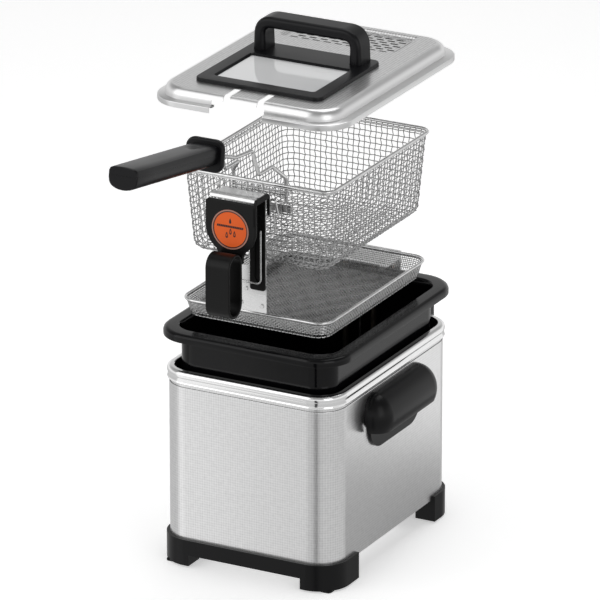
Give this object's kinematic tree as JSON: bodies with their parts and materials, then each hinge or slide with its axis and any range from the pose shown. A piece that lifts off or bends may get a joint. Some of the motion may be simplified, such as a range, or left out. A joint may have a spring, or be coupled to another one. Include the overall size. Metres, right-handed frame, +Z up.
{
  "type": "deep fryer",
  "caption": "Electric deep fryer taken apart in a vertical stack: steel housing, enamel bowl with immersion heater, oil filter tray, wire basket with handle, and windowed steel lid.",
  "frame": {"origin": "on the floor under the middle of the housing's footprint", "axes": "+Z up, -Y to the front where the basket handle points, +X to the user's right"},
  "size_m": [0.2742, 0.6218, 0.6132],
  "materials": {
    "housing_steel": "fine linen-rolled stainless sheet, polished rim",
    "lid_steel": "fine linen-rolled stainless sheet",
    "black_plastic": "satin moulded plastic with a fine spark texture",
    "handle_plastic": "satin heat-resistant plastic",
    "filter_plastic": "satin moulded plastic",
    "rubber": "matt",
    "galvanised_steel": "plain bent sheet",
    "zinc_screws": "bright zinc",
    "enamel": "glossy vitreous enamel",
    "element_metal": "heat-tinted sheath",
    "copper_probe": "dull copper",
    "phenolic": "moulded phenolic",
    "lens_red": "clear red",
    "knob_plastic": "satin, with a white pointer line",
    "switch_plastic": "gloss",
    "filter_mesh": "fine woven stainless wire",
    "bright_wire": "bright drawn wire",
    "bright_sheet": "bright bent sheet",
    "badge": "printed disc with a plain ring and drops",
    "basket_wire": "woven wavy wire",
    "window_glass": "clear, slightly reflective",
    "filter_pad": "open charcoal foam",
    "filter_frame_steel": "plain sheet",
    "seal_silicone": "grey silicone"
  },
  "bodies": {
    "housing": {"housing_shell": "housing_steel", "inner_frame": "black_plastic", "base_frame": "black_plastic", "foot_pads": "rubber", "base_plate": "galvanised_steel", "base_screws": "zinc_screws", "side_handle_right": "black_plastic", "side_handle_left": "black_plastic", "handle_backplates": "black_plastic", "handle_screws": "zinc_screws", "rear_guide_rail": "black_plastic", "guide_screws": "zinc_screws"},
    "bowl": {"bowl": "enamel"},
    "control_unit": {"control_box": "black_plastic", "control_cover": "black_plastic", "cover_screws": "zinc_screws", "heating_element": "element_metal", "element_bracket": "galvanised_steel", "temperature_probe": "copper_probe", "probe_clip": "galvanised_steel", "thermostat_body": "phenolic", "thermal_cutout": "phenolic", "terminal_block": "phenolic", "microswitch": "phenolic", "cord_gland": "rubber", "indicator_lenses": "lens_red"},
    "thermostat_knob": {"thermostat_knob": "knob_plastic"},
    "power_switch": {"power_switch": "switch_plastic"},
    "reset_button": {"reset_button": "switch_plastic"},
    "oil_filter": {"filter_tray": "filter_mesh", "filter_rim_wire": "bright_wire", "filter_bracket": "bright_sheet", "filter_rivets": "zinc_screws", "filter_rail": "filter_plastic", "filter_strip": "bright_sheet", "filter_shield": "filter_plastic", "filter_badge": "badge", "filter_loop_grip": "filter_plastic"},
    "basket": {"basket_mesh": "basket_wire", "basket_rim_wire": "bright_wire", "basket_bracket": "bright_wire"},
    "basket_handle": {"handle_wires": "bright_wire", "handle_guard": "handle_plastic", "grip_upper": "handle_plastic", "grip_lower": "handle_plastic", "grip_screw": "zinc_screws"},
    "lid": {"lid_pan": "lid_steel", "lid_window": "window_glass", "lid_bezel": "handle_plastic", "lid_handle": "handle_plastic", "lid_screws": "zinc_screws", "lid_filter": "filter_pad", "lid_filter_frame": "filter_frame_steel", "lid_seal": "seal_silicone"}
  },
  "joints": [
    {"name": "bowl_lift", "type": "slide", "parent": "housing", "child": "bowl", "axis": [0, 0, 1], "range_m": [-0.042, 0.14]},
    {"name": "control_unit_lift", "type": "slide", "parent": "bowl", "child": "control_unit", "axis": [0, 0, 1], "range_m": [0, 0.19]},
    {"name": "knob_turn", "type": "hinge", "parent": "control_unit", "child": "thermostat_knob", "pos_m": [-0.045, 0.174, 0.254], "axis": [0, 0, 1], "range_deg": [-270, 0]},
    {"name": "switch_rock", "type": "hinge", "parent": "control_unit", "child": "power_switch", "pos_m": [0.045, 0.174, 0.254], "axis": [1, 0, 0], "range_deg": [-8, 8]},
    {"name": "reset_press", "type": "slide", "parent": "control_unit", "child": "reset_button", "axis": [0, -1, 0], "range_m": [0, 0.0022], "stiffness_N_per_m": 400, "springref_m": -0.001},
    {"name": "filter_lift", "type": "slide", "parent": "control_unit", "child": "oil_filter", "axis": [0, 0, 1], "range_m": [-0.171, 0.05]},
    {"name": "basket_lift", "type": "slide", "parent": "oil_filter", "child": "basket", "axis": [0, 0, 1], "range_m": [-0.023, 0.1]},
    {"name": "handle_release", "type": "slide", "parent": "basket", "child": "basket_handle", "axis": [0, 0, 1], "range_m": [0, 0.025]},
    {"name": "lid_lift", "type": "slide", "parent": "basket", "child": "lid", "axis": [0, 0, 1], "range_m": [-0.078, 0.08]}
  ]
}
